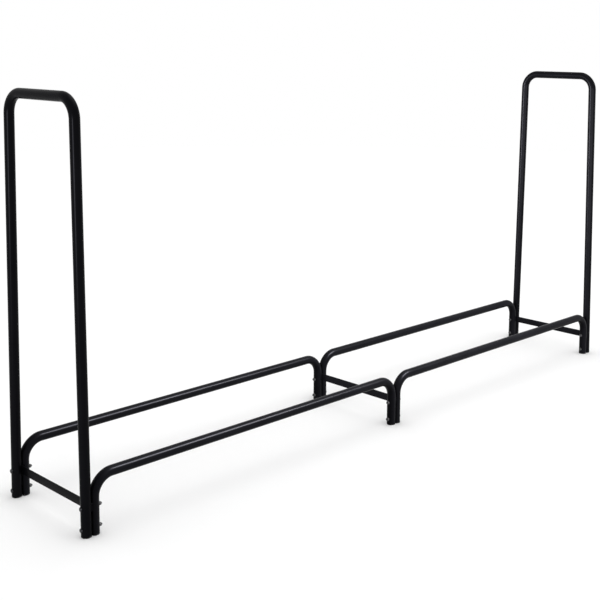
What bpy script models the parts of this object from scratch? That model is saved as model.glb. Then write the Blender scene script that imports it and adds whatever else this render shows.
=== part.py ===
"""Firewood log rack: two bent-tube end hoops, four bent-tube base rails and three flat crossbars,
held together by twelve bolts. Metres, +Z up, X along the rack, origin on the floor under its centre.

Each leg of a rail stands beside a leg of a hoop, or beside a leg of the other rail in the middle.
Such a pair is pressed flat where it meets, with the end of a crossbar between the two flats.
Its upper bolt passes through both tubes and the crossbar, and its lower bolt through both tubes."""

import math

import bmesh
import bpy
from mathutils import Matrix, Vector

# Tube stock
TUBE_RADIUS = 0.014
TUBE_WALL = 0.0012
BEND_RADIUS = 0.055
BEND_STEPS = 6
TUBE_BEVEL_RESOLUTION = 4  # 12 sides

# Frame
HOOP_DISTANCE = 2.375  # between the planes of the two hoops
HOOP_HEIGHT = 1.110  # axis of the top bar
HOOP_FLOOR_WIDTH = 0.340  # between leg axes at the floor
HOOP_TOP_WIDTH = 0.308  # between leg axes at the top bar
RAIL_HEIGHT = 0.153  # axis of the horizontal run
PAIR_PITCH = 0.024  # between the axes of two paired legs
FLAT_ABOVE_BEND = 0.026  # how far a hoop's flat runs above the start of the rail's bend
FLAT_FADE = 0.018  # height over which that flat becomes round again

# Clearance that stands for contact between touching pieces
GAP = 0.0003

# Crossbars
CROSSBAR_THICKNESS = 0.0025
CROSSBAR_HEIGHT = 0.024
CROSSBAR_OVERHANG = 0.0095  # past the bolt's axis
CROSSBAR_CORNER = 0.004
CROSSBAR_CORNER_STEPS = 4
MIDDLE_CROSSBAR_LIFT = 0.005  # its holes are this far below its middle line

# Bolts and nuts
BOLT_HEIGHTS = {"lower": 0.020, "upper": 0.076}
BOLT_RADIUS = 0.003
HOLE_RADIUS = 0.0035
BOLT_POINT = 0.0008
BOLT_PAST_NUT = 0.0035
HEAD_RADIUS = 0.006
HEAD_HEIGHT = 0.0042
HEAD_RIM = 0.0012
HEAD_STEPS = 3
NUT_CORNER_RADIUS = 0.00577  # 10 mm across flats
NUT_HEIGHT = 0.005
FASTENER_SIDES = 12
HOLE_SIDES = 8

# End plugs
FOOT_HEIGHT = 0.003
FOOT_EDGE = 0.002
STEM_TOP = 0.012
STEM_CLEARANCE = 0.0004  # round the stem, inside the tube
PLUG_SIDES = 12

# Meshing
SHARP_ANGLE = math.radians(35)
MERGE_DISTANCE = 0.00001

# Worked out from the dimensions above
HOOP_X = HOOP_DISTANCE / 2
FLAT_DISTANCE = PAIR_PITCH / 2 - CROSSBAR_THICKNESS / 2 - GAP  # from a leg's axis to its flat
PRESS_DEPTH = TUBE_RADIUS - FLAT_DISTANCE
HOOP_SLOPE = (HOOP_FLOOR_WIDTH - HOOP_TOP_WIDTH) / 2 / HOOP_HEIGHT  # of a leg towards the middle plane
LEG_END = FOOT_HEIGHT + GAP + HOOP_SLOPE * TUBE_RADIUS  # a sloping leg is cut square to its axis
STEM_RADIUS = TUBE_RADIUS - TUBE_WALL - STEM_CLEARANCE
BOLT_MIDDLE = sum(BOLT_HEIGHTS.values()) / 2
FLAT_TOP = RAIL_HEIGHT - BEND_RADIUS + FLAT_ABOVE_BEND

PARTS = "firewood_log_rack"
CUTTERS = "cutters"

BLACK_POWDER_COAT = ("black_powder_coat", (0.012, 0.012, 0.013, 1.0), 0.38, 0.0)
BLACK_ZINC = ("black_zinc", (0.035, 0.035, 0.038, 1.0), 0.30, 1.0)
BLACK_PLASTIC = ("black_plastic", (0.014, 0.014, 0.014, 1.0), 0.55, 0.0)


def clear_scene():
    for item in list(bpy.data.objects):
        bpy.data.objects.remove(item, do_unlink=True)


def new_collection(name, helpers=False):
    collection = bpy.data.collections.new(name)
    bpy.context.scene.collection.children.link(collection)
    collection.hide_render = helpers
    return collection


def material(name, colour, roughness, metallic):
    made = bpy.data.materials.get(name)
    if made is None:
        made = bpy.data.materials.new(name)
        made.use_nodes = True
        shader = made.node_tree.nodes["Principled BSDF"]
        shader.inputs["Base Color"].default_value = colour
        shader.inputs["Roughness"].default_value = roughness
        shader.inputs["Metallic"].default_value = metallic
        made.diffuse_color = colour
    return made


def add_object(name, data, collection):
    made = bpy.data.objects.new(name, data)
    bpy.data.collections[collection].objects.link(made)
    return made


def finish_part(part, finish):
    """The piece's own material, and smooth shading with its corners kept."""
    part.data.materials.clear()
    part.data.materials.append(material(*finish))
    part.data.shade_smooth()
    part.data.set_sharp_from_angle(angle=SHARP_ANGLE)
    return part


def baked(source, name):
    """A mesh object made from the source as it evaluates, which takes the source's place."""
    bpy.context.view_layer.update()
    graph = bpy.context.evaluated_depsgraph_get()
    mesh = bpy.data.meshes.new_from_object(source.evaluated_get(graph))
    made = add_object(name, mesh, PARTS)
    made.matrix_world = source.matrix_world
    bpy.data.objects.remove(source, do_unlink=True)
    shape = bmesh.new()
    shape.from_mesh(mesh)
    bmesh.ops.remove_doubles(shape, verts=shape.verts, dist=MERGE_DISTANCE)
    shape.to_mesh(mesh)
    shape.free()
    return made


def rounded_route(corners, radius):
    """The corners as one route, with an arc of the given radius at each inner corner."""
    route = [corners[0]]
    for before, corner, after in zip(corners, corners[1:], corners[2:]):
        back = (before - corner).normalized()
        ahead = (after - corner).normalized()
        half = back.angle(ahead) / 2
        centre = corner + (back + ahead).normalized() * radius / math.sin(half)
        start = corner + back * radius / math.tan(half) - centre
        turn = start.rotation_difference(corner + ahead * radius / math.tan(half) - centre)
        for step in range(BEND_STEPS + 1):
            arc = turn.copy()
            arc.angle = turn.angle * step / BEND_STEPS
            route.append(centre + arc @ start)
    route.append(corners[-1])
    return route


def tube_skin(name, route):
    """The outer skin of a tube along the route, open at both ends."""
    curve = bpy.data.curves.new(name, "CURVE")
    curve.dimensions = "3D"
    curve.bevel_depth = TUBE_RADIUS
    curve.bevel_resolution = TUBE_BEVEL_RESOLUTION
    spline = curve.splines.new("POLY")
    spline.points.add(len(route) - 1)
    for point, place in zip(spline.points, route):
        point.co = (*place, 1.0)
    return baked(add_object(name + "_route", curve, PARTS), name)


def add_wall(part):
    wall = part.modifiers.new("wall", "SOLIDIFY")
    wall.thickness = TUBE_WALL
    wall.offset = -1.0
    wall.use_even_offset = True


def add_hole(part, cutter):
    hole = part.modifiers.new(cutter.name, "BOOLEAN")
    hole.operation = "DIFFERENCE"
    hole.solver = "EXACT"
    hole.object = cutter


def hoop_y(height):
    """Distance of a hoop leg's axis from the middle plane at this height."""
    return HOOP_FLOOR_WIDTH / 2 - HOOP_SLOPE * height


RAIL_Y = hoop_y(BOLT_MIDDLE)


def press_hoop(part, inward):
    """Presses a hoop's legs flat on the side of the rails, fading out above the pair."""
    axis_x = -inward * HOOP_X
    for vertex in part.data.vertices:
        fade = min(max((vertex.co.z - FLAT_TOP) / FLAT_FADE, 0.0), 1.0)
        reach = FLAT_DISTANCE + PRESS_DEPTH * fade
        across = inward * (vertex.co.x - axis_x)
        vertex.co.x = axis_x + inward * min(across, reach)


def make_hoop(name, side):
    """side is -1 for the hoop at -X and 1 for the one at +X."""
    x = side * HOOP_X
    foot_y = hoop_y(LEG_END)
    top_y = hoop_y(HOOP_HEIGHT)
    feet_to_top = rounded_route(
        [
            Vector((x, -foot_y, LEG_END)),
            Vector((x, -top_y, HOOP_HEIGHT)),
            Vector((x, top_y, HOOP_HEIGHT)),
            Vector((x, foot_y, LEG_END)),
        ],
        BEND_RADIUS,
    )
    ring_heights = (FLAT_TOP, FLAT_TOP + FLAT_FADE / 2, FLAT_TOP + FLAT_FADE)
    front = [Vector((x, -hoop_y(z), z)) for z in ring_heights]
    rear = [Vector((x, -point.y, point.z)) for point in reversed(front)]
    hoop = tube_skin(name, [feet_to_top[0], *front, *feet_to_top[1:-1], *rear, feet_to_top[-1]])
    press_hoop(hoop, -side)
    add_wall(hoop)
    return hoop


def press_rail(part, low_x, high_x):
    """Presses a rail's two legs flat on their outer sides. low_x and high_x are the legs' axes."""
    for vertex in part.data.vertices:
        vertex.co.x = min(max(vertex.co.x, low_x - FLAT_DISTANCE), high_x + FLAT_DISTANCE)


def make_rail(name, half, side):
    """half is -1 for a rail of the half at -X, side is -1 for the front."""
    y = side * RAIL_Y
    end_x = half * (HOOP_X - PAIR_PITCH)
    middle_x = half * PAIR_PITCH / 2
    low_x, high_x = sorted((end_x, middle_x))
    route = rounded_route(
        [
            Vector((low_x, y, LEG_END)),
            Vector((low_x, y, RAIL_HEIGHT)),
            Vector((high_x, y, RAIL_HEIGHT)),
            Vector((high_x, y, LEG_END)),
        ],
        BEND_RADIUS,
    )
    rail = tube_skin(name, route)
    press_rail(rail, low_x, high_x)
    add_wall(rail)
    return rail


def rectangle_outline(length, height, corner):
    """A rectangle with rounded corners, about the origin."""
    points = []
    for quarter, (sign_x, sign_y) in enumerate(((1, 1), (-1, 1), (-1, -1), (1, -1))):
        centre = Vector((sign_x * (length / 2 - corner), sign_y * (height / 2 - corner)))
        for step in range(CROSSBAR_CORNER_STEPS + 1):
            angle = (quarter + step / CROSSBAR_CORNER_STEPS) * math.pi / 2
            points.append(centre + corner * Vector((math.cos(angle), math.sin(angle))))
    return points


def circle_outline(centre, radius, sides):
    turns = [2 * math.pi * step / sides for step in range(sides)]
    return [centre + radius * Vector((math.cos(turn), math.sin(turn))) for turn in turns]


def plate(name, outlines, thickness):
    """A flat plate about its middle plane. The first outline is its edge, and the others are holes."""
    curve = bpy.data.curves.new(name, "CURVE")
    curve.dimensions = "2D"
    curve.fill_mode = "BOTH"
    curve.extrude = thickness / 2
    for outline in outlines:
        spline = curve.splines.new("POLY")
        spline.points.add(len(outline) - 1)
        for point, place in zip(spline.points, outline):
            point.co = (place.x, place.y, 0.0, 1.0)
        spline.use_cyclic_u = True
    return add_object(name + "_outline", curve, PARTS)


def make_crossbar(name, x, lift):
    holes = [
        circle_outline(Vector((side * RAIL_Y, -lift)), HOLE_RADIUS, HOLE_SIDES) for side in (-1, 1)
    ]
    length = 2 * (RAIL_Y + CROSSBAR_OVERHANG)
    edge = rectangle_outline(length, CROSSBAR_HEIGHT, CROSSBAR_CORNER)
    outline = plate(name, [edge, *holes], CROSSBAR_THICKNESS)
    stand_up = Matrix(((0, 0, 1), (1, 0, 0), (0, 1, 0))).to_4x4()
    outline.matrix_world = Matrix.Translation((x, 0, BOLT_HEIGHTS["upper"] + lift)) @ stand_up
    return baked(outline, name)


def turned(name, profile, sides):
    """A solid of revolution about Z from a profile of (radius, height), listed from top to bottom."""
    mesh = bpy.data.meshes.new(name)
    points = [(radius, 0.0, height) for radius, height in profile]
    mesh.from_pydata(points, [(i, i + 1) for i in range(len(points) - 1)], [])
    part = add_object(name + "_profile", mesh, PARTS)
    spin = part.modifiers.new("spin", "SCREW")
    spin.steps = sides
    spin.render_steps = sides
    spin.use_merge_vertices = True
    spin.merge_threshold = MERGE_DISTANCE
    return part


def along_x(towards):
    """A rotation that takes +Z to +X, or to -X where towards is negative."""
    return Matrix.Rotation(math.copysign(math.pi / 2, towards), 4, "Y")


def make_bolt(name, place, length, towards):
    """A domed bolt. place is under its head, and towards is the sign of X that its shank points to."""
    dome = HEAD_HEIGHT - HEAD_RIM
    profile = [(0.0, length), (BOLT_RADIUS - BOLT_POINT, length), (BOLT_RADIUS, length - BOLT_POINT)]
    profile += [(BOLT_RADIUS, 0.0), (HEAD_RADIUS, 0.0), (HEAD_RADIUS, -HEAD_RIM)]
    for step in range(1, HEAD_STEPS + 1):
        angle = step / HEAD_STEPS * math.pi / 2
        profile.append((HEAD_RADIUS * math.cos(angle), -HEAD_RIM - dome * math.sin(angle)))
    profile[-1] = (0.0, -HEAD_HEIGHT)
    bolt = turned(name, profile, FASTENER_SIDES)
    bolt.matrix_world = Matrix.Translation(place) @ along_x(towards)
    return baked(bolt, name)


def make_nut(name, place):
    """A hexagon nut on a bolt along X. place is its middle."""
    edge = circle_outline(Vector((0, 0)), NUT_CORNER_RADIUS, 6)
    bore = circle_outline(Vector((0, 0)), BOLT_RADIUS + GAP, FASTENER_SIDES)
    outline = plate(name, [edge, bore], NUT_HEIGHT)
    outline.matrix_world = Matrix.Translation(place) @ along_x(1)
    return baked(outline, name)


def make_plug(name, x, y, pressed):
    """The end plug of a leg. pressed is the side, -1 or 1 along X, on which the leg and plug are flat."""
    eased = FOOT_EDGE * (1 - math.sqrt(0.5))
    profile = [
        (0.0, STEM_TOP),
        (STEM_RADIUS, STEM_TOP),
        (STEM_RADIUS, FOOT_HEIGHT),
        (TUBE_RADIUS, FOOT_HEIGHT),
        (TUBE_RADIUS, FOOT_EDGE),
        (TUBE_RADIUS - eased, eased),
        (TUBE_RADIUS - FOOT_EDGE, 0.0),
        (0.0, 0.0),
    ]
    plug = turned(name, profile, PLUG_SIDES)
    plug.location = (x, y, 0.0)
    plug = baked(plug, name)
    for vertex in plug.data.vertices:
        reach = max(math.hypot(vertex.co.x, vertex.co.y) - PRESS_DEPTH, 0.0)
        vertex.co.x = pressed * min(pressed * vertex.co.x, reach)
    return plug


def make_hole_cutter(name, x, y, z):
    depth = 4 * TUBE_RADIUS + PAIR_PITCH
    bpy.ops.mesh.primitive_cylinder_add(vertices=HOLE_SIDES, radius=HOLE_RADIUS, depth=depth)
    cutter = bpy.context.object
    cutter.name = name
    half_side_turn = Matrix.Rotation(math.pi / HOLE_SIDES, 4, "Z")  # no corner meets a tube's edge
    cutter.matrix_world = Matrix.Translation((x, y, z)) @ along_x(1) @ half_side_turn
    for collection in list(cutter.users_collection):
        collection.objects.unlink(cutter)
    bpy.data.collections[CUTTERS].objects.link(cutter)
    cutter.hide_render = True
    cutter.display_type = "WIRE"
    return cutter


def make_pair_fasteners(place, x, side, nut_side, tubes):
    """Two bolts, each with its nut, and the holes they pass through. nut_side is the sign of X."""
    y = side * RAIL_Y
    half_grip = PAIR_PITCH / 2 + TUBE_RADIUS + GAP
    length = 2 * half_grip + GAP + NUT_HEIGHT + BOLT_PAST_NUT
    for level, z in BOLT_HEIGHTS.items():
        under_head = Vector((x - nut_side * half_grip, y, z))
        bolt = make_bolt(f"bolt_{place}_{level}", under_head, length, nut_side)
        finish_part(bolt, BLACK_ZINC)
        nut_x = x + nut_side * (half_grip + GAP + NUT_HEIGHT / 2)
        nut = make_nut(f"nut_{place}_{level}", Vector((nut_x, y, z)))
        finish_part(nut, BLACK_ZINC)
        cutter = make_hole_cutter(f"hole_{place}_{level}", x, y, z)
        for tube in tubes:
            add_hole(tube, cutter)


def build():
    clear_scene()
    new_collection(PARTS)
    new_collection(CUTTERS, helpers=True)
    ends = {"left": -1, "right": 1}
    sides = {"front": -1, "rear": 1}

    hoops = {end: make_hoop(f"end_hoop_{end}", sign) for end, sign in ends.items()}
    rails = {
        (end, side): make_rail(f"base_rail_{side}_{end}", half, sign)
        for end, half in ends.items()
        for side, sign in sides.items()
    }
    for tube in (*hoops.values(), *rails.values()):
        finish_part(tube, BLACK_POWDER_COAT)

    meeting_x = HOOP_X - PAIR_PITCH / 2
    crossbars = {"left": (-meeting_x, 0.0), "middle": (0.0, MIDDLE_CROSSBAR_LIFT), "right": (meeting_x, 0.0)}
    for where, (x, lift) in crossbars.items():
        finish_part(make_crossbar(f"crossbar_{where}", x, lift), BLACK_POWDER_COAT)

    for side, sign in sides.items():
        for end, half in ends.items():
            tubes = (hoops[end], rails[end, side])
            make_pair_fasteners(f"{side}_{end}", half * meeting_x, sign, -half, tubes)
            hoop_foot = make_plug(f"plug_hoop_{side}_{end}", half * HOOP_X, sign * hoop_y(FOOT_HEIGHT), -half)
            outer_x = half * (HOOP_X - PAIR_PITCH)
            outer_foot = make_plug(f"plug_rail_{side}_{end}_outer", outer_x, sign * RAIL_Y, half)
            inner_x = half * PAIR_PITCH / 2
            inner_foot = make_plug(f"plug_rail_{side}_{end}_inner", inner_x, sign * RAIL_Y, -half)
            for foot in (hoop_foot, outer_foot, inner_foot):
                finish_part(foot, BLACK_PLASTIC)
        tubes = (rails["left", side], rails["right", side])
        make_pair_fasteners(f"{side}_middle", 0.0, sign, -1, tubes)


build()
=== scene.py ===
"""The looks of the firewood log rack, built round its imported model. Metres, +Z up.

Every node is replaced by a finer piece in the same place: tubes with true walls, pressed flats and
drilled holes, flat crossbars with rolled edges, threaded bolts, chamfered nuts and moulded end plugs.
"""

import math

import bmesh
import bpy
from mathutils import Matrix, Vector


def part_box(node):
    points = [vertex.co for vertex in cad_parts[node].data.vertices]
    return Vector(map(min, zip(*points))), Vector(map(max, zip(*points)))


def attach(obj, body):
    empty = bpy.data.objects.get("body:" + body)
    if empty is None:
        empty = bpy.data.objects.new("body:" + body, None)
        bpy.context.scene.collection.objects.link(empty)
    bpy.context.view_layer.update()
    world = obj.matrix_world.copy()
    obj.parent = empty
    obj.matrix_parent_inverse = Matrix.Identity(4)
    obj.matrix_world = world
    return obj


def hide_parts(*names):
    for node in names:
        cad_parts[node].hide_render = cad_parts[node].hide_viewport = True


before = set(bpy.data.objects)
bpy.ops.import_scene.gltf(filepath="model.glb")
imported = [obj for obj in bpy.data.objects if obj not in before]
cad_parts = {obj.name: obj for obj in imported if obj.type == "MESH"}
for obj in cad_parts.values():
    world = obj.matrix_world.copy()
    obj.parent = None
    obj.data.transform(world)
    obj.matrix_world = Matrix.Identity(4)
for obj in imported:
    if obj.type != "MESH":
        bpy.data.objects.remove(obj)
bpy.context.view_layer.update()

# Tubes
TUBE_RADIUS = 0.014
TUBE_WALL = 0.0012
TUBE_SIDES = 48
BEND_RADIUS = 0.055
BEND_STEPS = 18
STRAIGHT_STEP = 0.03  # between rings on a straight run
HOOP_TOP_WIDTH = 0.308  # between the legs' axes at the top bar
BEND_FLATTENING = 0.06  # of the outer side, in the middle of a bend
BEND_SPREAD = 0.015  # of the width, in the middle of a bend
HOLE_RADIUS = 0.0034
HOLE_SIDES = 32
HOLE_CUTTER_LENGTH = 0.08

# Pressed flats, where two legs meet
PAIR_PITCH = 0.024
CONTACT_GAP = 0.0003  # between a flat and the crossbar against it
FLAT_EASE = 0.0012
FLAT_TOP = 0.124
FLAT_FADE = 0.018
FLAT_STEP = 0.003  # between rings where the flat fades out

# Crossbars
BAR_EDGE = 0.0006
BAR_EDGE_STEPS = 4
BAR_CORNER = 0.004
BAR_CORNER_STEPS = 8

# Bolts
SHANK_RADIUS = 0.003
HEAD_RADIUS = 0.006
HEAD_HEIGHT = 0.0042
HEAD_RIM = 0.0012
HEAD_EDGE = 0.0003
HEAD_STEPS = 12
HEAD_EDGE_STEPS = 3
BOLT_SIDES = 36
THREAD_PITCH = 0.001
THREAD_DEPTH = 0.00055
THREAD_LENGTH = 0.0125
THREAD_ROWS = 8  # a turn
THREAD_FLANK = 1.3  # steepness of the groove's sides
THREAD_CREST = 0.15  # share of the groove's depth left as a flat crest
TIP_CHAMFER = 0.0008

# Nuts
NUT_SIDES = 72
NUT_BORE = 0.0033
NUT_BORE_CHAMFER = 0.0004
NUT_CHAMFER = math.radians(30)
NUT_FACE_SHARE = 0.95  # radius of a nut's flat face, as a share of half its width across flats

# End plugs
PLUG_SIDES = 72
PLUG_EDGE = 0.0018
PLUG_EDGE_STEPS = 8
PLUG_FLANGE = 0.003
STEM_RADIUS = 0.0124
STEM_EDGE = 0.0006
STEM_INNER_SHARE = 0.6  # of its radius, an inner ring of its top face
FLANGE_EDGE = 0.0003
SOLE_INNER_SHARE = 0.5  # of the tube's radius, an inner ring of the sole

# Colours, linear
COAT_DEEP = (0.0014, 0.0014, 0.0018)
COAT_LIGHT = (0.0023, 0.0023, 0.0029)
COAT_DUST = (0.0062, 0.0062, 0.0067)
COAT_SPECULAR = 0.035
COAT_SPECULAR_TINT = (0.86, 0.86, 1.0, 1.0)
ZINC_DEEP = (0.018, 0.018, 0.021)
ZINC_LIGHT = (0.040, 0.040, 0.043)
ZINC_WORN = (0.30, 0.30, 0.30)
PLASTIC_DEEP = (0.0035, 0.0035, 0.0035)
PLASTIC_LIGHT = (0.0060, 0.0060, 0.0060)
PLASTIC_SCUFF = (0.018, 0.018, 0.017)
PLASTIC_SPECULAR = 0.1

# Roughness, from the smoothest to the roughest patches
COAT_ROUGHNESS = (0.25, 0.33)
ZINC_ROUGHNESS = (0.20, 0.34)
PLASTIC_ROUGHNESS = (0.45, 0.62)
FLOOR_ROUGHNESS = (0.85, 0.95)

# Scales of the noise in each finish, as repeats in a metre
COAT_CLOUD_SCALE = 9.0
COAT_RUB_SCALE = 26.0
COAT_DUST_SCALE = 420.0
COAT_PEEL_SCALE = 520.0
COAT_GRAIN_SCALE = 2600.0
ZINC_PATCH_SCALE = 260.0
ZINC_SCUFF_SCALE = 900.0
PLASTIC_MOTTLE_SCALE = 120.0
PLASTIC_SCUFF_SCALE = 700.0
PLASTIC_GRAIN_SCALE = 3200.0
FLOOR_CLOUD_SCALE = 1.5

# Bumps: height in metres, strength
COAT_PEEL_BUMP = (0.0004, 0.05)
COAT_GRAIN_BUMP = (0.0001, 0.05)
ZINC_SCUFF_BUMP = (0.00005, 0.15)
PLASTIC_GRAIN_BUMP = (0.0001, 0.2)

# How much of the dust, wear and scuffing shows where it is strongest
COAT_DUST_SHARE = 0.35
ZINC_WORN_SHARE = 0.6
PLASTIC_SCUFF_SHARE = 0.5

# Camera
FOCAL_LENGTH = 65.576
SENSOR_WIDTH = 36.0
SHIFT_Y = -0.21
CAMERA_PLACE = Vector((-2.6491, -2.4207, 1.256))
CAMERA_YAW = 0.77691  # from +Y towards +X
CAMERA_PITCH = -0.12437
CAMERA_ROLL = 0.00473

# Studio
FLOOR_RADIUS = 9.0
FLOOR_SIDES = 96
FLOOR_RINGS = 12
# The floor's paling away from the middle is painted light: it makes the far floor as white as the backdrop.
FLOOR_FADE_START = 1.4  # from the middle, where the floor starts to pale
FLOOR_FADE_END = 4.5
FLOOR_ALBEDO = 0.91
FLOOR_CLOUD = 0.01
FLOOR_EDGE_ALBEDO = 0.995
BACKDROP_LIGHT = 1.0

# Softboxes: place, aim, width, height, watts, and how the names of the pieces it shines on start.
# Without such names it shines on everything, the floor included. The others leave the floor as it is.
# far_hoop_panel burns out the edge of the right hoop's top in some views, such as 180,20.
SOFTBOXES = {
    "overhead_softbox": ((1.0, -0.3, 4.5), (0.8, 0.0, 0.0), 4.0, 3.0, 50.0, ()),
    "rail_softbox": (
        (0.85, -1.4, 2.1), (0.85, 0.0, 0.15), 1.7, 0.22, 430.0,
        ("base_rail", "crossbar", "bolt", "nut", "plug"),
    ),
    "near_hoop_softbox": (
        (-4.1, -0.9, 0.65), (-1.19, -0.17, 0.5), 0.4, 0.8, 70.0, ("end_hoop_left", "bolt", "nut"),
    ),
    "far_hoop_softbox": ((-4.3, 1.7, 0.6), (1.2, 0.0, 0.5), 0.3, 1.2, 620.0, ("end_hoop_right",)),
    "far_hoop_panel": ((-0.65, -1.84, 0.5), (1.19, 0.0, 0.5), 4.4, 1.4, 175.0, ("end_hoop_right",)),
    "crossbar_panel": (
        (-1.4, -0.23, 0.9), (1.19, 0.0, 0.5), 5.2, 3.0, 330.0, ("crossbar_middle", "crossbar_right"),
    ),
}

ENDS = {"left": -1, "right": 1}
SIDES = {"front": -1, "rear": 1}
LEVELS = ("lower", "upper")
SHARP_ANGLE = math.radians(35)


def box_centre(node):
    low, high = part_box(node)
    return (low + high) / 2


# Materials


def new_material(name):
    made = bpy.data.materials.new(name)
    made.use_nodes = True
    return made, made.node_tree.nodes, made.node_tree.links


def object_point(nodes):
    return nodes.new("ShaderNodeTexCoord").outputs["Object"]


def noise(nodes, links, point, scale, detail=2.0, roughness=0.5):
    texture = nodes.new("ShaderNodeTexNoise")
    texture.inputs["Scale"].default_value = scale
    texture.inputs["Detail"].default_value = detail
    texture.inputs["Roughness"].default_value = roughness
    links.new(point, texture.inputs["Vector"])
    return texture.outputs["Fac"]


def span(nodes, links, value, low, high, start=0.3, end=0.7):
    """The value, which runs from start to end, mapped to run from low to high."""
    mapped = nodes.new("ShaderNodeMapRange")
    mapped.inputs["From Min"].default_value = start
    mapped.inputs["From Max"].default_value = end
    mapped.inputs["To Min"].default_value = low
    mapped.inputs["To Max"].default_value = high
    links.new(value, mapped.inputs["Value"])
    return mapped.outputs["Result"]


def blend_colours(nodes, links, share, first, second):
    mixed = nodes.new("ShaderNodeMix")
    mixed.data_type = "RGBA"
    for socket, colour in (("A", first), ("B", second)):
        target = next(i for i in mixed.inputs if i.name == socket and i.type == "RGBA")
        if isinstance(colour, tuple):
            target.default_value = (*colour, 1.0)
        else:
            links.new(colour, target)
    links.new(share, mixed.inputs["Factor"])
    return next(o for o in mixed.outputs if o.type == "RGBA")


def bump(nodes, links, height, distance, strength, below=None):
    made = nodes.new("ShaderNodeBump")
    made.inputs["Distance"].default_value = distance
    made.inputs["Strength"].default_value = strength
    links.new(height, made.inputs["Height"])
    if below is not None:
        links.new(below, made.inputs["Normal"])
    return made.outputs["Normal"]


def make_powder_coat():
    """Satin black powder coat: orange peel, a fine grain and faint rubs and dust."""
    made, nodes, links = new_material("black_powder_coat")
    shader = nodes["Principled BSDF"]
    shader.inputs["Specular IOR Level"].default_value = COAT_SPECULAR
    shader.inputs["Specular Tint"].default_value = COAT_SPECULAR_TINT
    point = object_point(nodes)
    cloud = noise(nodes, links, point, COAT_CLOUD_SCALE, detail=4.0)
    speckle = noise(nodes, links, point, COAT_DUST_SCALE, detail=3.0, roughness=0.6)
    clouded = span(nodes, links, cloud, 0.0, 1.0)
    tone = blend_colours(nodes, links, clouded, COAT_DEEP, COAT_LIGHT)
    dusted = span(nodes, links, speckle, 0.0, COAT_DUST_SHARE, 0.60, 0.80)
    colour = blend_colours(nodes, links, dusted, tone, COAT_DUST)
    links.new(colour, shader.inputs["Base Color"])
    rub = noise(nodes, links, point, COAT_RUB_SCALE, detail=5.0, roughness=0.65)
    links.new(span(nodes, links, rub, *COAT_ROUGHNESS), shader.inputs["Roughness"])
    peel = noise(nodes, links, point, COAT_PEEL_SCALE, detail=1.0)
    grain = noise(nodes, links, point, COAT_GRAIN_SCALE)
    waves = bump(nodes, links, peel, *COAT_PEEL_BUMP)
    surface = bump(nodes, links, grain, *COAT_GRAIN_BUMP, below=waves)
    links.new(surface, shader.inputs["Normal"])
    return made


def make_black_zinc():
    """Black zinc plate on steel, with the metal showing faintly on the edges."""
    made, nodes, links = new_material("black_zinc")
    shader = nodes["Principled BSDF"]
    shader.inputs["Metallic"].default_value = 1.0
    point = object_point(nodes)
    patch = noise(nodes, links, point, ZINC_PATCH_SCALE, detail=4.0)
    patched = span(nodes, links, patch, 0.0, 1.0)
    tone = blend_colours(nodes, links, patched, ZINC_DEEP, ZINC_LIGHT)
    edge = nodes.new("ShaderNodeNewGeometry").outputs["Pointiness"]
    worn = span(nodes, links, edge, 0.0, ZINC_WORN_SHARE, 0.53, 0.61)
    colour = blend_colours(nodes, links, worn, tone, ZINC_WORN)
    links.new(colour, shader.inputs["Base Color"])
    scuff = noise(nodes, links, point, ZINC_SCUFF_SCALE, detail=4.0, roughness=0.7)
    links.new(span(nodes, links, scuff, *ZINC_ROUGHNESS), shader.inputs["Roughness"])
    links.new(bump(nodes, links, scuff, *ZINC_SCUFF_BUMP), shader.inputs["Normal"])
    return made


def make_black_plastic():
    """Moulded black plastic with a fine matt texture and faint scuffs all over."""
    made, nodes, links = new_material("black_plastic")
    shader = nodes["Principled BSDF"]
    shader.inputs["Specular IOR Level"].default_value = PLASTIC_SPECULAR
    point = object_point(nodes)
    mottle = noise(nodes, links, point, PLASTIC_MOTTLE_SCALE, detail=4.0)
    mottled = span(nodes, links, mottle, 0.0, 1.0)
    tone = blend_colours(nodes, links, mottled, PLASTIC_DEEP, PLASTIC_LIGHT)
    scuff = noise(nodes, links, point, PLASTIC_SCUFF_SCALE, detail=5.0, roughness=0.7)
    scuffed = span(nodes, links, scuff, 0.0, PLASTIC_SCUFF_SHARE, 0.62, 0.75)
    colour = blend_colours(nodes, links, scuffed, tone, PLASTIC_SCUFF)
    links.new(colour, shader.inputs["Base Color"])
    links.new(span(nodes, links, scuff, *PLASTIC_ROUGHNESS), shader.inputs["Roughness"])
    texture = noise(nodes, links, point, PLASTIC_GRAIN_SCALE)
    links.new(bump(nodes, links, texture, *PLASTIC_GRAIN_BUMP), shader.inputs["Normal"])
    return made


def make_floor_material():
    """Pale paper, which pales further away from the middle until it can't be told from the backdrop."""
    made, nodes, links = new_material("pale_floor")
    shader = nodes["Principled BSDF"]
    shader.inputs["Specular IOR Level"].default_value = 0.0
    point = object_point(nodes)
    cloud = noise(nodes, links, point, FLOOR_CLOUD_SCALE, detail=3.0)
    clouded = span(nodes, links, cloud, 0.0, 1.0)
    near = blend_colours(nodes, links, clouded, (FLOOR_ALBEDO,) * 3, (FLOOR_ALBEDO + FLOOR_CLOUD,) * 3)
    # Painted light: the floor is painted paler further out, as if lit as brightly as the white backdrop, so
    # no horizon shows.
    distance = nodes.new("ShaderNodeVectorMath")
    distance.operation = "LENGTH"
    links.new(point, distance.inputs[0])
    painted_light_share = span(nodes, links, distance.outputs["Value"], 0.0, 1.0, FLOOR_FADE_START, FLOOR_FADE_END)
    links.new(blend_colours(nodes, links, painted_light_share, near, (FLOOR_EDGE_ALBEDO,) * 3), shader.inputs["Base Color"])
    links.new(span(nodes, links, cloud, *FLOOR_ROUGHNESS), shader.inputs["Roughness"])
    return made


# Meshes


def object_from(shape, name):
    mesh = bpy.data.meshes.new(name)
    bmesh.ops.recalc_face_normals(shape, faces=shape.faces)
    shape.to_mesh(mesh)
    shape.free()
    made = bpy.data.objects.new(name, mesh)
    bpy.context.scene.collection.objects.link(made)
    return made


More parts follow.
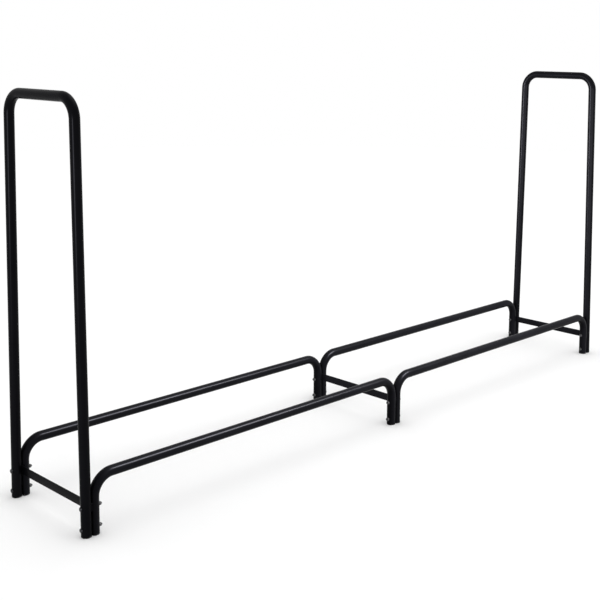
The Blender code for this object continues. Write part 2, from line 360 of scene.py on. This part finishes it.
def skin(shape, rings):
    """Quads between each ring of vertices and the next."""
    for first, second in zip(rings, rings[1:]):
        for i in range(len(first)):
            j = (i + 1) % len(first)
            shape.faces.new((first[i], first[j], second[j], second[i]))


def lathe(name, rows, sides, closed_ring=False):
    """A turned solid about Z. Each row gives its (radius, height) at a given angle. The first and the
    last row are closed with a fan, or with closed_ring they are joined to each other round a bore."""
    shape = bmesh.new()
    turns = [2 * math.pi * i / sides for i in range(sides)]
    rings = []
    for row in rows:
        places = [row(turn) for turn in turns]
        rings.append([
            shape.verts.new((radius * math.cos(turn), radius * math.sin(turn), height))
            for turn, (radius, height) in zip(turns, places)
        ])
    skin(shape, rings)
    if closed_ring:
        skin(shape, [rings[-1], rings[0]])
    else:
        for ring in (rings[0], rings[-1]):
            shape.faces.new(ring)
    return object_from(shape, name)


def even_row(radius, height):
    return lambda turn: (radius, height)


def quarter_rows(centre_radius, centre_height, radius, steps, start, end):
    """Rows along an arc in the profile, from the start to the end angle, measured from outwards to up."""
    rows = []
    for step in range(steps + 1):
        angle = start + (end - start) * step / steps
        height = centre_height + radius * math.sin(angle)
        rows.append(even_row(centre_radius + radius * math.cos(angle), height))
    return rows


def finished(piece, material, node):
    """Gives the piece its finish, and puts it in the place of its node."""
    piece.data.shade_smooth()
    piece.data.set_sharp_from_angle(angle=SHARP_ANGLE)
    piece.data.materials.clear()
    piece.data.materials.append(material)
    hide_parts(node)
    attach(piece, "root")
    return piece


def drilled(piece, centres, radius):
    """The piece with a round hole along X through each centre."""
    shape = bmesh.new()
    for centre in centres:
        turn = Matrix.Rotation(math.pi / 2, 4, "Y") @ Matrix.Rotation(math.pi / HOLE_SIDES, 4, "Z")
        matrix = Matrix.Translation(centre) @ turn
        bmesh.ops.create_cone(
            shape, cap_ends=True, segments=HOLE_SIDES, radius1=radius, radius2=radius,
            depth=HOLE_CUTTER_LENGTH, matrix=matrix
        )
    cutter = object_from(shape, piece.name + "_cutter")
    cut = piece.modifiers.new("holes", "BOOLEAN")
    cut.operation = "DIFFERENCE"
    cut.solver = "EXACT"
    cut.object = cutter
    bpy.context.view_layer.update()
    graph = bpy.context.evaluated_depsgraph_get()
    mesh = bpy.data.meshes.new_from_object(piece.evaluated_get(graph))
    piece.modifiers.clear()
    piece.data = mesh
    bpy.data.objects.remove(cutter, do_unlink=True)
    return piece


# Tubes


def straight_stations(start, end, extra_heights=()):
    """Places along a straight run, without its end, and its direction."""
    along = end - start
    count = math.ceil(along.length / STRAIGHT_STEP)
    shares = {i / count for i in range(count)}
    if abs(along.z) > abs(along.x) + abs(along.y):
        lowest, highest = sorted((start.z, end.z))
        shares |= {(z - start.z) / along.z for z in extra_heights if lowest < z < highest}
    direction = along.normalized()
    return [(start + along * share, direction, 0.0) for share in sorted(shares)]


def tube_stations(corners, extra_heights=()):
    """(place, direction, amount of bend) along a route with an arc at each inner corner."""
    stations = []
    start = corners[0]
    for before, corner, after in zip(corners, corners[1:], corners[2:]):
        back = (before - corner).normalized()
        ahead = (after - corner).normalized()
        half = back.angle(ahead) / 2
        reach = BEND_RADIUS / math.tan(half)
        centre = corner + (back + ahead).normalized() * BEND_RADIUS / math.sin(half)
        first = corner + back * reach - centre
        turn = first.rotation_difference(corner + ahead * reach - centre)
        stations += straight_stations(start, centre + first, extra_heights)
        for step in range(BEND_STEPS):
            share = step / BEND_STEPS
            arc = turn.copy()
            arc.angle = turn.angle * share
            stations.append((centre + arc @ first, arc @ -back, math.sin(math.pi * share) ** 2))
        start = corner + ahead * reach
    stations += straight_stations(start, corners[-1], extra_heights)
    stations.append((corners[-1], (corners[-1] - start).normalized(), 0.0))
    return stations


def tube_ring(shape, station, across, radius):
    """A ring of vertices. across is the normal of the plane that the tube bends in."""
    place, direction, bend = station
    outward = direction.cross(across)
    ring = []
    for i in range(TUBE_SIDES):
        turn = 2 * math.pi * i / TUBE_SIDES
        sideways = math.cos(turn) * (1 + BEND_SPREAD * bend)
        out = math.sin(turn)
        if out > 0:
            out *= 1 - BEND_FLATTENING * bend
        ring.append(shape.verts.new(place + radius * (across * sideways + outward * out)))
    return ring


def eased_limit(value, limit):
    """The value, rounded off so that it stays just under the limit."""
    start = limit - FLAT_EASE
    if value <= start:
        return value
    return start + FLAT_EASE * (1 - math.exp((start - value) / FLAT_EASE))


def make_tube(name, stations, across, press):
    """A tube with a true wall. press changes a vertex, given how far it lies inside the outer skin."""
    shape = bmesh.new()
    skins = []
    for depth in (0.0, TUBE_WALL):
        rings = [tube_ring(shape, station, across, TUBE_RADIUS - depth) for station in stations]
        for ring in rings:
            for vertex in ring:
                press(vertex, depth)
        skin(shape, rings)
        skins.append(rings)
    for end in (0, -1):
        skin(shape, [skins[0][end], skins[1][end]])
    return object_from(shape, name)


def bolt_centres(places):
    return [box_centre(f"bolt_{place}_{level}") for place in places for level in LEVELS]


def flat_distance(crossbar):
    """From a leg's axis to its pressed flat, which lies against the crossbar."""
    low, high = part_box(crossbar)
    return PAIR_PITCH / 2 - (high.x - low.x) / 2 - CONTACT_GAP


def make_hoop(end, material):
    node = f"end_hoop_{end}"
    low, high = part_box(node)
    x = (low.x + high.x) / 2
    top_y = HOOP_TOP_WIDTH / 2
    foot_y = high.y - TUBE_RADIUS
    top_z = high.z - TUBE_RADIUS
    corners = [
        Vector((x, -foot_y, low.z)), Vector((x, -top_y, top_z)),
        Vector((x, top_y, top_z)), Vector((x, foot_y, low.z)),
    ]
    steps = int(FLAT_FADE / FLAT_STEP)
    fade_heights = [FLAT_TOP + FLAT_STEP * step for step in range(steps + 1)]
    inward = -ENDS[end]
    flat = flat_distance(f"crossbar_{end}")

    def press(vertex, depth):
        share = min(max((vertex.co.z - FLAT_TOP) / FLAT_FADE, 0.0), 1.0)
        share = share * share * (3 - 2 * share)
        across = inward * (vertex.co.x - x)
        pressed = eased_limit(across, flat - depth)
        vertex.co.x = x + inward * (pressed + (across - pressed) * share)

    hoop = make_tube(node + "_tube", tube_stations(corners, fade_heights), Vector((-1, 0, 0)), press)
    drilled(hoop, bolt_centres([f"{side}_{end}" for side in SIDES]), HOLE_RADIUS)
    return finished(hoop, material, node)


def make_rail(side, end, material):
    node = f"base_rail_{side}_{end}"
    low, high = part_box(node)
    y = (low.y + high.y) / 2
    flat = flat_distance(f"crossbar_{end}")
    low_x = low.x + flat
    high_x = high.x - flat
    top_z = high.z - TUBE_RADIUS
    corners = [
        Vector((low_x, y, low.z)), Vector((low_x, y, top_z)),
        Vector((high_x, y, top_z)), Vector((high_x, y, low.z)),
    ]

    def press(vertex, depth):
        if vertex.co.x < low_x:
            vertex.co.x = low_x - eased_limit(low_x - vertex.co.x, flat - depth)
        elif vertex.co.x > high_x:
            vertex.co.x = high_x + eased_limit(vertex.co.x - high_x, flat - depth)

    rail = make_tube(node + "_tube", tube_stations(corners), Vector((0, 1, 0)), press)
    drilled(rail, bolt_centres([f"{side}_{end}", f"{side}_middle"]), HOLE_RADIUS)
    return finished(rail, material, node)


# Crossbars


def bar_section(half_thickness, half_height):
    """A rectangle with rolled edges, as (x, z) points."""
    points = []
    for quarter, (sign_x, sign_z) in enumerate(((1, 1), (-1, 1), (-1, -1), (1, -1))):
        for step in range(BAR_EDGE_STEPS + 1):
            angle = (quarter + step / BAR_EDGE_STEPS) * math.pi / 2
            x = sign_x * (half_thickness - BAR_EDGE) + BAR_EDGE * math.cos(angle)
            z = sign_z * (half_height - BAR_EDGE) + BAR_EDGE * math.sin(angle)
            points.append((x, z))
    return points


def make_crossbar(place, material):
    """A flat bar along Y, whose ends have rounded corners."""
    node = f"crossbar_{place}"
    low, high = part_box(node)
    centre = (low + high) / 2
    size = high - low
    ys = []
    for step in range(BAR_CORNER_STEPS + 1):
        ys.append(BAR_CORNER * (1 - math.cos(step / BAR_CORNER_STEPS * math.pi / 2)))
    straight = size.y - 2 * BAR_CORNER
    count = math.ceil(straight / STRAIGHT_STEP)
    ys += [BAR_CORNER + straight * step / count for step in range(1, count)]
    ys += [size.y - y for y in reversed(ys[: BAR_CORNER_STEPS + 1])]
    shape = bmesh.new()
    rings = []
    for y in ys:
        short = BAR_CORNER - min(y, size.y - y, BAR_CORNER)
        drop = BAR_CORNER - math.sqrt(max(BAR_CORNER ** 2 - short ** 2, 0.0))
        section = bar_section(size.x / 2, size.z / 2 - drop)
        rings.append([shape.verts.new((centre.x + x, low.y + y, centre.z + z)) for x, z in section])
    skin(shape, rings)
    for ring in (rings[0], rings[-1]):
        shape.faces.new(ring)
    bar = object_from(shape, node + "_bar")
    drilled(bar, [box_centre(f"bolt_{side}_{place}_upper") for side in SIDES], HOLE_RADIUS)
    return finished(bar, material, node)


# Bolts, nuts and plugs


def thread_row(height, length):
    """A row of the shank, which is threaded near its tip. The shank runs from 0 to its length."""
    start = length - THREAD_LENGTH

    def row(turn):
        phase = (height / THREAD_PITCH - turn / (2 * math.pi)) % 1.0
        groove = min(max((1 - abs(2 * phase - 1)) * THREAD_FLANK - THREAD_CREST, 0.0), 1.0)
        runout = min(max((height - start) / THREAD_PITCH, 0.0), 1.0)
        radius = SHANK_RADIUS - THREAD_DEPTH * groove * runout
        return min(radius, SHANK_RADIUS - TIP_CHAMFER + (length - height)), height

    return row


def make_bolt(place, level, material):
    node = f"bolt_{place}_{level}"
    low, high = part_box(node)
    centre = (low + high) / 2
    towards = 1 if box_centre(f"nut_{place}_{level}").x > centre.x else -1
    length = high.x - low.x - HEAD_HEIGHT
    dome = HEAD_HEIGHT - HEAD_RIM
    rows = []
    for step in range(HEAD_STEPS):
        angle = (1 - step / HEAD_STEPS) * math.pi / 2
        radius = max(HEAD_RADIUS * math.cos(angle), HEAD_EDGE)
        rows.append(even_row(radius, -HEAD_RIM - dome * math.sin(angle)))
    rows.append(even_row(HEAD_RADIUS, -HEAD_RIM))
    rows += quarter_rows(HEAD_RADIUS - HEAD_EDGE, -HEAD_EDGE, HEAD_EDGE, HEAD_EDGE_STEPS, 0.0, math.pi / 2)
    rows.append(even_row(SHANK_RADIUS, 0.0))
    count = int(THREAD_LENGTH / THREAD_PITCH * THREAD_ROWS)
    rows.append(even_row(SHANK_RADIUS, length - THREAD_LENGTH - THREAD_PITCH))
    rows += [thread_row(length - THREAD_LENGTH * (1 - step / count), length) for step in range(count + 1)]
    bolt = lathe(node + "_threaded", rows, BOLT_SIDES)
    under_head = low.x + HEAD_HEIGHT if towards > 0 else high.x - HEAD_HEIGHT
    turn = Matrix.Rotation(towards * math.pi / 2, 4, "Y")
    bolt.data.transform(Matrix.Translation((under_head, centre.y, centre.z)) @ turn)
    return finished(bolt, material, node)


def make_nut(place, level, material):
    """A hexagon nut, chamfered on both faces, with a corner at the top."""
    node = f"nut_{place}_{level}"
    low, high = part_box(node)
    half = (high.x - low.x) / 2
    corner_radius = (high.z - low.z) / 2
    apothem = corner_radius * math.cos(math.pi / 6)
    face_radius = apothem * NUT_FACE_SHARE

    def side_row(sign):
        def row(turn):
            off_flat = (turn % (math.pi / 3)) - math.pi / 6
            radius = apothem / math.cos(off_flat)
            return radius, sign * (half - (radius - face_radius) * math.tan(NUT_CHAMFER))
        return row

    rows = [
        even_row(NUT_BORE, half - NUT_BORE_CHAMFER),
        even_row(NUT_BORE + NUT_BORE_CHAMFER, half),
        even_row(face_radius, half),
        side_row(1),
        side_row(-1),
        even_row(face_radius, -half),
        even_row(NUT_BORE + NUT_BORE_CHAMFER, -half),
        even_row(NUT_BORE, -half + NUT_BORE_CHAMFER),
    ]
    nut = lathe(node + "_hexagon", rows, NUT_SIDES, closed_ring=True)
    turn = Matrix.Rotation(math.pi / 2, 4, "Y")
    nut.data.transform(Matrix.Translation((low + high) / 2) @ turn)
    return finished(nut, material, node)


def make_plug(node, pressed, crossbar, material):
    """A moulded plug under a leg. pressed is the sign of X on which the leg is flat."""
    low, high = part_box(node)
    flat = flat_distance(crossbar)
    x = high.x - flat if pressed > 0 else low.x + flat
    y = (low.y + high.y) / 2
    rows = [
        even_row(STEM_RADIUS * STEM_INNER_SHARE, high.z),
        even_row(STEM_RADIUS - STEM_EDGE, high.z),
        even_row(STEM_RADIUS, high.z - STEM_EDGE),
        even_row(STEM_RADIUS, PLUG_FLANGE),
        even_row(TUBE_RADIUS - FLANGE_EDGE, PLUG_FLANGE),
        even_row(TUBE_RADIUS, PLUG_FLANGE - FLANGE_EDGE),
    ]
    rows += quarter_rows(TUBE_RADIUS - PLUG_EDGE, PLUG_EDGE, PLUG_EDGE, PLUG_EDGE_STEPS, 0.0, -math.pi / 2)
    rows.append(even_row(TUBE_RADIUS * SOLE_INNER_SHARE, 0.0))
    plug = lathe(node + "_moulded", rows, PLUG_SIDES)
    for vertex in plug.data.vertices:
        inset = TUBE_RADIUS - vertex.co.xy.length
        vertex.co.x = pressed * eased_limit(pressed * vertex.co.x, max(flat - inset, FLAT_EASE))
    plug.data.transform(Matrix.Translation((x, y, 0.0)))
    return finished(plug, material, node)


# Studio


def make_floor():
    """A round sheet, so that it has no corners to show."""
    shape = bmesh.new()
    rings = []
    for ring in range(1, FLOOR_RINGS + 1):
        radius = FLOOR_RADIUS * ring / FLOOR_RINGS
        turns = [2 * math.pi * i / FLOOR_SIDES for i in range(FLOOR_SIDES)]
        rings.append([shape.verts.new((radius * math.cos(t), radius * math.sin(t), 0.0)) for t in turns])
    shape.faces.new(rings[0])
    skin(shape, rings)
    floor = object_from(shape, "floor")
    floor.data.materials.append(make_floor_material())


def make_backdrop_light():
    world = bpy.data.worlds.new("studio")
    world.use_nodes = True
    background = world.node_tree.nodes["Background"]
    background.inputs["Color"].default_value = (1.0, 1.0, 1.0, 1.0)
    background.inputs["Strength"].default_value = BACKDROP_LIGHT
    bpy.context.scene.world = world


def make_softbox(name, place, aim, width, height, watts):
    light = bpy.data.lights.new(name, "AREA")
    light.shape = "RECTANGLE"
    light.size = width
    light.size_y = height
    light.energy = watts
    made = bpy.data.objects.new(name, light)
    made.location = place
    made.rotation_euler = (Vector(aim) - Vector(place)).to_track_quat("-Z", "Y").to_euler()
    made.visible_camera = False
    bpy.context.scene.collection.objects.link(made)
    return made


def shine_only_on(light, pieces, prefixes):
    """Narrows a light to the pieces whose names start so. It makes their highlights and leaves the floor."""
    lit = bpy.data.collections.new(light.name + "_receivers")
    for piece in pieces:
        if piece.name.startswith(prefixes):
            lit.objects.link(piece)
    light.light_linking.receiver_collection = lit


def make_camera():
    camera = bpy.data.objects.new("camera", bpy.data.cameras.new("camera"))
    camera.data.sensor_width = SENSOR_WIDTH
    camera.data.lens = FOCAL_LENGTH
    camera.data.shift_y = SHIFT_Y
    turn = Matrix.Rotation(-CAMERA_YAW, 4, "Z") @ Matrix.Rotation(math.pi / 2 + CAMERA_PITCH, 4, "X")
    camera.matrix_world = Matrix.Translation(CAMERA_PLACE) @ turn @ Matrix.Rotation(CAMERA_ROLL, 4, "Z")
    bpy.context.scene.collection.objects.link(camera)
    bpy.context.scene.camera = camera


def make_studio(pieces):
    make_floor()
    make_backdrop_light()
    for name, (place, aim, width, height, watts, prefixes) in SOFTBOXES.items():
        light = make_softbox(name, place, aim, width, height, watts)
        if prefixes:
            shine_only_on(light, pieces, prefixes)
    bpy.context.scene.view_settings.view_transform = "Standard"


def build_pieces():
    coat = make_powder_coat()
    zinc = make_black_zinc()
    plastic = make_black_plastic()
    pieces = []
    for end, end_sign in ENDS.items():
        pieces.append(make_hoop(end, coat))
        for side in SIDES:
            pieces.append(make_rail(side, end, coat))
            crossbar = f"crossbar_{end}"
            pieces.append(make_plug(f"plug_hoop_{side}_{end}", -end_sign, crossbar, plastic))
            pieces.append(make_plug(f"plug_rail_{side}_{end}_outer", end_sign, crossbar, plastic))
            pieces.append(make_plug(f"plug_rail_{side}_{end}_inner", -end_sign, crossbar, plastic))
    for place in (*ENDS, "middle"):
        pieces.append(make_crossbar(place, coat))
        for side in SIDES:
            for level in LEVELS:
                pieces.append(make_bolt(f"{side}_{place}", level, zinc))
                pieces.append(make_nut(f"{side}_{place}", level, zinc))
    return pieces


make_studio(build_pieces())
make_camera()
